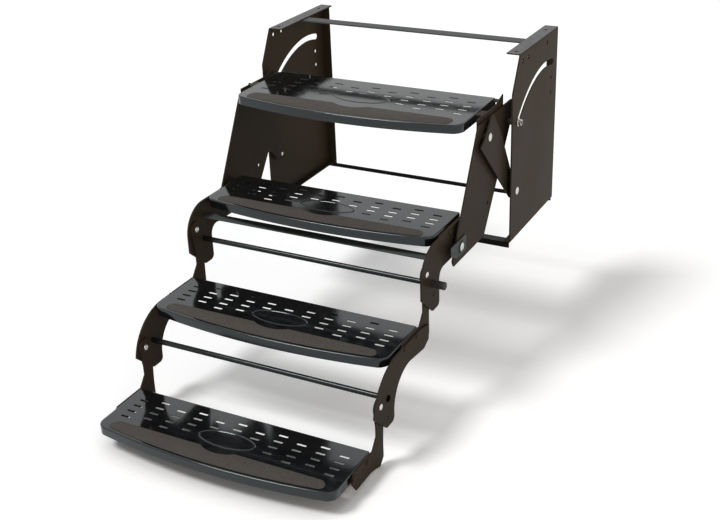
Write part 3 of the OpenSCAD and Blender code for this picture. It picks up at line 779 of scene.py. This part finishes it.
def lay_strip(name, low, high, bow, plan):
    """One strip of gritty film: bowed front, rounded tips, and a dip round the oval."""
    s = bpy.context.scene.step_strips
    wide, rear, top = high.x - low.x, high.y, high.z
    r, half = bow_radius(wide, bow), wide / 2 - s.end
    ob = bowed_plan(name, half, rear - plan.strip_rear * MM, low.y + r, r - s.nose, top)
    round_corners(ob, side_ends(ob, half, min), STRIP_CORNER, segments=8)
    round_corners(ob, side_ends(ob, half, max), s.tip, segments=8)
    everything()
    extrude((0, 0, s.thick))
    shut(ob)
    middle, half_wide, half_deep = (v * MM for v in plan.dip)
    centre = (0, rear - middle, top)
    tool = start("oval_margin", bpy.ops.mesh.primitive_cylinder_add, vertices=DIP_POINTS,
                 radius=1.0, depth=DIP_DEPTH, location=centre)
    bpy.ops.transform.resize(value=(half_wide, half_deep, 1.0), center_override=centre)
    close_mesh()
    cut(ob, tool)
    break_edges(ob, STRIP_EDGE, STRIP_ANGLE)
    smooth(ob)
    return ob


class STEP_OT_strips(bpy.types.Operator):
    """Lay the gritty strips along the front edges of the treads"""
    bl_idname = "entry_step.strips"
    bl_label = "Lay grip strips"

    def execute(self, context):
        s = context.scene.step_treads
        settle(lay_strip("top_grip_strip", *TREADS[1], s.top_bow, TOP_PLAN), "grip_strip_1")
        settle_lower(lay_strip("second_grip_strip", *TREADS[2], s.low_bow, LOWER_PLAN),
                     "grip_strip", "grip_strip")
        return {"FINISHED"}


def dressed(node, name, fold=None):
    """A merged copy of a CAD node whose fold corners are rounded and cut edges broken."""
    s = bpy.context.scene.step_frame
    ob = bpy.data.objects.new(name, frame["nodes"][node].data.copy())
    ob.data.name = name
    bpy.context.scene.collection.objects.link(ob)
    only(ob)
    bpy.ops.object.mode_set(mode="EDIT")
    everything()
    bpy.ops.mesh.remove_doubles(threshold=CAD_MERGE)
    everything()
    bpy.ops.mesh.dissolve_limited(angle_limit=math.radians(FLAT_ANGLE))
    if fold and pick(ob, "EDGE", fold):
        bpy.ops.mesh.bevel(offset=s.fold, segments=4, profile=0.5, affect="EDGES")
    close_mesh()
    break_edges(ob, s.edge, SHEET_ANGLE)
    smooth(ob, flats=True)
    return ob


def along(edge, axis, *fixed):
    """True for an edge along one axis whose ends lie on all the given (axis, place) planes."""
    a, b = (v.co for v in edge.verts)
    straight = abs((a - b).normalized()[axis]) > STRAIGHT
    return straight and all(abs(p[k] - at) < FOLD_SNAP for p in (a, b) for k, at in fixed)


class STEP_OT_housing(bpy.types.Operator):
    """Fold the side plates and fit the brace, angle and bar between them"""
    bl_idname = "entry_step.housing"
    bl_label = "Fold housing"

    def execute(self, context):
        for side, outer in (("left", 0), ("right", 1)):
            node = f"side_plate_{side}"
            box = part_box(node)
            (low, high), out = box, box[outer].x

            def fold(e):
                return (along(e, 1, (0, out), (2, high.z)) or along(e, 1, (0, out), (2, low.z))
                        or along(e, 2, (0, out), (1, high.y)))
            settle(dressed(node, f"{side}_side_plate", fold), node)
        low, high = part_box("front_angle")
        settle(dressed("front_angle", "bottom_front_angle",
                       lambda e: along(e, 0, (1, low.y), (2, high.z))), "front_angle")
        settle(dressed("top_brace", "flat_top_brace"), "top_brace")
        settle(dressed("rear_bar", "bottom_rear_bar"), "rear_bar")
        return {"FINISHED"}


class STEP_OT_sides(bpy.types.Operator):
    """Cut the flat side pieces: links, risers, brackets, arms and legs"""
    bl_idname = "entry_step.sides"
    bl_label = "Cut side pieces"

    def execute(self, context):
        for side in ("left", "right"):
            for stem, name in (("link", "swing_link"), ("riser", "step_riser"),
                               ("tread_bracket", "riser_bracket"), ("arm_2", "second_arm"),
                               ("arm_3", "third_arm"), ("leg_3", "third_leg"),
                               ("leg_4", "fourth_leg")):
                settle(dressed(f"{stem}_{side}", f"{name}_{side}"), f"{stem}_{side}")
        settle(dressed("cross_bar_2", "nose_cross_bar"), "cross_bar_2")
        return {"FINISHED"}


def right_solids(node):
    """Boxes (low, high) of a CAD node's separate solids on the right-hand side, in order."""
    mesh = bmesh.new()
    mesh.from_mesh(frame["nodes"][node].data)
    bmesh.ops.remove_doubles(mesh, verts=mesh.verts, dist=CAD_MERGE)
    waiting, boxes = set(mesh.verts), []
    while waiting:
        group, stack = set(), [waiting.pop()]
        while stack:
            v = stack.pop()
            group.add(v)
            for e in v.link_edges:
                w = e.other_vert(v)
                if w in waiting:
                    waiting.discard(w)
                    stack.append(w)
        low = Vector([min(v.co[k] for v in group) for k in range(3)])
        high = Vector([max(v.co[k] for v in group) for k in range(3)])
        if high.x > 0:
            boxes.append((low, high))
    mesh.free()
    return sorted(boxes, key=lambda box: tuple(box[0]))


def axle(low, high):
    """The box of a turned piece as its ends and radius in millimetres, and its axis (y, z)."""
    return (low.x / MM, high.x / MM, (high.z - low.z) / 2 / MM,
            ((low.y + high.y) / 2, (low.z + high.z) / 2))


def right_axle(node):
    return axle(*right_solids(node)[0])


def dome(x, r, out=1):
    """Profile of a low domed head from its rim at x to its crown, out along +X or -X."""
    return [(x + out * HEAD * up, r * share) for up, share in DOME]


def headed(x0, x1, inner, outer, middle):
    """Profile of a piece with a domed head on its inner end, a middle, and one on its outer end."""
    return dome(x0 + HEAD, inner, -1)[::-1] + middle + dome(x1 - HEAD, outer)


def from_start(x, r, rows):
    """Profile points from rows of distances after x and below r."""
    return [(x + d, r - drop) for d, drop in rows]


def to_end(x, r, rows):
    """Profile points from rows of distances before x and below r."""
    return [(x - d, r - drop) for d, drop in rows]


def shank(x0, x1, r, collar):
    """Profile of a pin between its heads, with a collar of radius r between two places."""
    steps = [(collar[0], SHANK), (collar[0], r), (collar[1], r), (collar[1], SHANK)]
    return [(x0 + HEAD, SHANK), *steps, (x1 - HEAD, SHANK)]


class STEP_OT_rivets(bpy.types.Operator):
    """Set the rivets: one domed rivet for each length, copied to its places on both sides"""
    bl_idname = "entry_step.rivets"
    bl_label = "Set rivets"

    def execute(self, context):
        for node, name in (("bracket_rivets", "bracket_rivet_set"),
                           ("rivets_2", "second_rivet_set"), ("rivets_3", "third_rivet_set"),
                           ("rivets_4", "fourth_rivet_set")):
            pieces, made = [], {}
            for box in right_solids(node):
                x0, x1, r, at = axle(*box)
                key = (round(x0, 1), round(x1, 1))
                if key in made:
                    first, (y, z) = made[key]
                    pieces.append(copied(first, (0, at[0] - y, at[1] - z)))
                else:
                    middle = [(x0 + HEAD, RIVET_SHANK), (x1 - HEAD, RIVET_SHANK)]
                    rivet = turned("rivet", headed(x0, x1, r, r, middle), at, RIVET_FACETS)
                    made[key] = (rivet, at)
                    pieces.append(rivet)
            settle(joined(pieces + [mirrored(ob) for ob in pieces], name), node)
        return {"FINISHED"}


class STEP_OT_pins(bpy.types.Operator):
    """Turn the pivots, bushes, hinge pins and guide pins, and fit the hinge plates"""
    bl_idname = "entry_step.pins"
    bl_label = "Turn pins"

    def execute(self, context):
        self.pivots()
        self.hinges()
        self.guides(context.scene.step_frame.thread / MM)
        self.plates()
        return {"FINISHED"}

    def pivots(self):
        """Link studs with their bushes, and crank pins."""
        x0, x1, r, at = right_axle("link_pivots")
        stud = turned("link_stud", [(x0, 0), (x0, STUD_TIP), (x0 + STUD_BREAK, SHANK),
                                    (x1 - HEAD, SHANK)] + dome(x1 - HEAD, r), at)
        settle_pair(stud, "link_stud_pair", "link_pivots")

        x0, x1, r, at = right_axle("link_bushes")
        bush = turned("link_bush", [(x0, BUSH_BORE)] + from_start(x0, r, BUSH_END)
                      + to_end(x1, r, BUSH_END[::-1]) + [(x1, BUSH_BORE), (x0, BUSH_BORE)], at)
        settle_pair(bush, "link_bush_pair", "link_bushes")

        x0, x1, r, at = right_axle("crank_pins")
        middle = shank(x0, x1, r, (x0 + CRANK_COLLAR[0], x1 - CRANK_COLLAR[1]))
        pin = turned("crank_pin", headed(x0, x1, INNER_HEAD, r, middle), at)
        settle_pair(pin, "crank_pin_pair", "crank_pins")

    def hinges(self):
        """Hinge pins of the second, third and fourth step."""
        x0, x1, r, at = right_axle("hinge_pins_2")
        middle = shank(x0, x1, r, (x0 + HINGE_COLLAR[0], x0 + HINGE_COLLAR[1]))
        pin = turned("second_hinge_pin", headed(x0, x1, INNER_HEAD, r, middle), at)
        settle_pair(pin, "second_hinge_pin_pair", "hinge_pins_2")

        for node, name in (("hinge_pins_3", "third_hinge_pin"),
                           ("hinge_pins_4", "fourth_hinge_pin")):
            x0, x1, r, at = right_axle(node)
            middle = [(x0 + HEAD, SHANK), (x1 - HEAD, SHANK)]
            pin = turned(name, headed(x0, x1, r, r, middle), at)
            settle_pair(pin, name + "_pair", node)

    def guides(self, pitch):
        """Guide pins with a thread of some pitch, and their washers and nuts."""
        x0, x1, r, at = right_axle("guide_pins")
        inner, outer, end = x0 + GUIDE_BODY[0], x1 - GUIDE_BODY[1], x1 - SHOULDER_END
        body = [(x0 + HEAD, THREAD), (inner, THREAD), (inner, r - GUIDE_BREAK),
                (inner + GUIDE_BREAK, r), (outer - GUIDE_BREAK, r), (outer, r - GUIDE_BREAK),
                (outer, GUIDE_SHOULDER), (end, GUIDE_SHOULDER), (end, THREAD)]
        teeth = [(x1 - THREAD_FROM + k * pitch / 2, THREAD_ROOT if k % 2 else THREAD)
                 for k in range(int(THREAD_LONG / pitch * 2))]
        pin = turned("guide_pin", dome(x0 + HEAD, INNER_HEAD, -1)[::-1] + body + teeth
                     + to_end(x1, THREAD, THREAD_TIP) + [(x1, 0.0)], at)
        settle_pair(pin, "guide_pin_pair", "guide_pins")

        x0, x1, r, at = right_axle("guide_nuts")
        washer = turned("guide_washer", [(x0 + x, radius) for x, radius in WASHER], at)
        seat = x0 + WASHER_THICK
        nut = start("guide_nut", bpy.ops.mesh.primitive_cylinder_add, vertices=6,
                    radius=NUT_FLATS / math.sqrt(3) * MM, depth=NUT_HIGH * MM,
                    location=((seat + NUT_HIGH / 2) * MM, *at), rotation=(0, math.pi / 2, 0))
        close_mesh()
        cut(nut, turned("nut_chamfer", [
            (seat, 0), (seat, NUT_FACE), (seat + NUT_BREAK, NUT_ROUND),
            (x1 - NUT_BREAK, NUT_ROUND), (x1, NUT_FACE), (x1, 0)], at), "INTERSECT")
        start_x, end_x = x0 - BORE_OVER, x1 + BORE_OVER
        cut(nut, turned("nut_bore", [(start_x, 0), (start_x, NUT_BORE), (end_x, NUT_BORE),
                                     (end_x, 0)], at))
        smooth(nut)
        settle_pair(joined([washer, nut], "guide_nut"), "guide_nut_pair", "guide_nuts")

    def plates(self):
        """Hinge plates with a raised rim round the second hinge pins."""
        at = right_axle("hinge_pins_2")[-1]
        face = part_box("hinge_plate_right")[1].x / MM
        rim = turned("hinge_rim", [(face + x, radius) for x, radius in HINGE_RIM], at)
        for side, ring in (("left", mirrored(rim)), ("right", rim)):
            node, name = f"hinge_plate_{side}", f"{side}_hinge_plate"
            settle(joined([dressed(node, name), ring], name), node)


class STEP_OT_rods(bpy.types.Operator):
    """Turn the cross rods, the lower rod's end discs and the ribbed hand grip"""
    bl_idname = "entry_step.rods"
    bl_label = "Turn rods"

    def execute(self, context):
        _, x1, r, at = axle(*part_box("stop_rod_2"))
        end = [(x1 - ROD_BREAK, r), (x1, r - ROD_BREAK), (x1, 0.0)]
        self.rod("upper_cross_rod", "stop_rod_2", end, at)

        _, x1, r, at = axle(*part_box("tie_rod_3"))
        back = x1 - DISC_EDGE[0][0]
        disc = turned("rod_end_disc", [(back, 0.0)] + to_end(x1, r, DISC_EDGE) + [(x1, 0.0)], at)
        settle(joined([disc, mirrored(disc)], "lower_rod_end_discs"), "tie_rod_3", "end_disc")
        self.rod("lower_cross_rod", "tie_rod_3", [(back, ROD_RADIUS), (back, 0.0)], at)

        x0, x1, r, at = axle(*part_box("rod_grip"))
        profile = [(x0, 0.0), (x0, r - ROD_BREAK), (x0 + ROD_BREAK, r)]
        for k in range(RIBS):
            profile += from_start(x0 + RIB_FROM + k * RIB_PITCH, r, GRIP_RIB)
        profile += to_end(x1, r, GRIP_END) + [(x1, 0.0)]
        settle(turned("rod_hand_grip", profile, at), "rod_grip")
        return {"FINISHED"}

    def rod(self, name, node, half, at):
        """Turns a rod from the profile of its right-hand end."""
        settle(turned(name, [(-x, r) for x, r in half[::-1]] + half, at), node)


def set_camera(s):
    """Aims the camera by its azimuth, elevation and roll."""
    a, e, roll = s.azimuth, s.elevation, s.roll
    back = Vector((math.sin(a) * math.cos(e), -math.cos(a) * math.cos(e), math.sin(e)))
    right = Vector((math.cos(a), math.sin(a), 0.0))
    up = back.cross(right)
    axes = (math.cos(roll) * right + math.sin(roll) * up,
            math.cos(roll) * up - math.sin(roll) * right, back)
    lens = bpy.data.cameras.new("camera")
    lens.lens, lens.sensor_width, lens.clip_end = s.lens, SENSOR, VIEW_DEPTH
    lens.shift_x, lens.shift_y = s.shift
    camera = bpy.data.objects.new("camera", lens)
    camera.matrix_world = Matrix.Translation(s.place) @ Matrix(axes).transposed().to_4x4()
    bpy.context.scene.collection.objects.link(camera)
    bpy.context.scene.camera = camera


def lay_floor(s):
    """Lays the pale floor, which glows to white in the picture; close under a piece the glow is
    dimmed into a painted shadow.
    """
    low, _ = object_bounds()
    floor = start("floor", bpy.ops.mesh.primitive_plane_add, size=FLOOR_SIZE,
                  location=(0, 0, low.z - FLOOR_GAP))
    close_mesh()
    floor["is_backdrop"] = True
    f = Finish("pale_floor", Roughness=0.9, Specular_IOR_Level=0.1, Emission_Strength=s.glow)
    # Ambient occlusion dims the glow where pieces stand close above: a painted contact shadow on
    # the floor.
    painted_shadow_clearance = f.node("AmbientOcclusion", {"samples": PAINTED_SHADOW_RAYS},
                         {"Distance": s.painted_shadow_reach}, "AO")
    glow = f.backdrop_rays() * f.span(painted_shadow_clearance, (0.45, 0.85), (s.painted_shadow_glow, 1.0))
    f.feed(Base_Color=f.blend(f.noise(scale=1.5), shade(s.floor, 0.985), shade(s.floor, 1.01)),
           Emission_Color=f.blend(glow, (0.0, 0.0, 0.0), (1.0, 1.0, 1.0)))
    floor.data.materials.append(f.material)


def set_surround(s):
    """A soft surrounding light that shows as white."""
    world = bpy.data.worlds.new("surround")
    tree = Tree(world)
    sky = tree.nodes["Background"]
    tree.fill(sky, {"Color": SKY_TONE, "Strength": s.sky})
    white = tree.node("Background", None, {"Color": WHITE})
    shown = tree.node("MixShader", None, {0: tree.backdrop_rays(), 1: Wire(tree, sky.outputs[0]),
                                          2: white})
    tree.fill(tree.nodes["World Output"], {0: shown})
    bpy.context.scene.world = world


def hang_lamp(name, power, soft, tone, way):
    """A distant lamp that shines from a direction."""
    lamp = bpy.data.lights.new(name, "SUN")
    lamp.energy, lamp.angle, lamp.color = power, soft, tone
    light = bpy.data.objects.new(name, lamp)
    light.rotation_euler = Vector(way).to_track_quat("Z", "Y").to_euler()
    bpy.context.scene.collection.objects.link(light)


class STEP_OT_stage(bpy.types.Operator):
    """Set the camera, soft lights and the pale floor"""
    bl_idname = "entry_step.stage"
    bl_label = "Set stage"

    def execute(self, context):
        s = context.scene.step_stage
        context.scene.view_settings.view_transform = "Standard"
        set_camera(s)
        lay_floor(s)
        set_surround(s)
        hang_lamp("key", s.key, s.key_soft, s.key_tone, s.key_from)
        hang_lamp("fill", s.fill, s.fill_soft, s.fill_tone, s.fill_from)
        return {"FINISHED"}


OPERATORS = (STEP_OT_treads, STEP_OT_strips, STEP_OT_housing, STEP_OT_sides, STEP_OT_rivets,
             STEP_OT_pins, STEP_OT_rods, STEP_OT_stage)
GROUPS = {"step_treads": TreadSizes, "step_strips": StripSizes, "step_frame": FrameSizes,
          "step_tones": FinishTones, "step_stage": StageSettings}


class STEP_PT_panel(bpy.types.Panel):
    """Sizes, finishes and steps of the entry step"""
    bl_label = "Entry step"
    bl_idname = "STEP_PT_panel"
    bl_space_type = "VIEW_3D"
    bl_region_type = "UI"
    bl_category = "Entry step"

    def draw(self, context):
        for name, group in GROUPS.items():
            box = self.layout.box()
            for key in group.__annotations__:
                box.prop(getattr(context.scene, name), key)
        for operator in OPERATORS:
            self.layout.operator(operator.bl_idname)


def register():
    for cls in (*GROUPS.values(), *OPERATORS, STEP_PT_panel):
        bpy.utils.register_class(cls)
    for name, group in GROUPS.items():
        setattr(bpy.types.Scene, name, PointerProperty(type=group))


def unregister():
    for name in GROUPS:
        delattr(bpy.types.Scene, name)
    for cls in (STEP_PT_panel, *OPERATORS[::-1], *GROUPS.values()):
        bpy.utils.unregister_class(cls)


def main():
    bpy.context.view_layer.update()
    register()
    mix_finishes()
    for operator in OPERATORS:
        group, name = operator.bl_idname.split(".")
        if getattr(getattr(bpy.ops, group), name)() != {"FINISHED"}:
            raise RuntimeError(operator.bl_label)


if __name__ == "__main__":
    main()
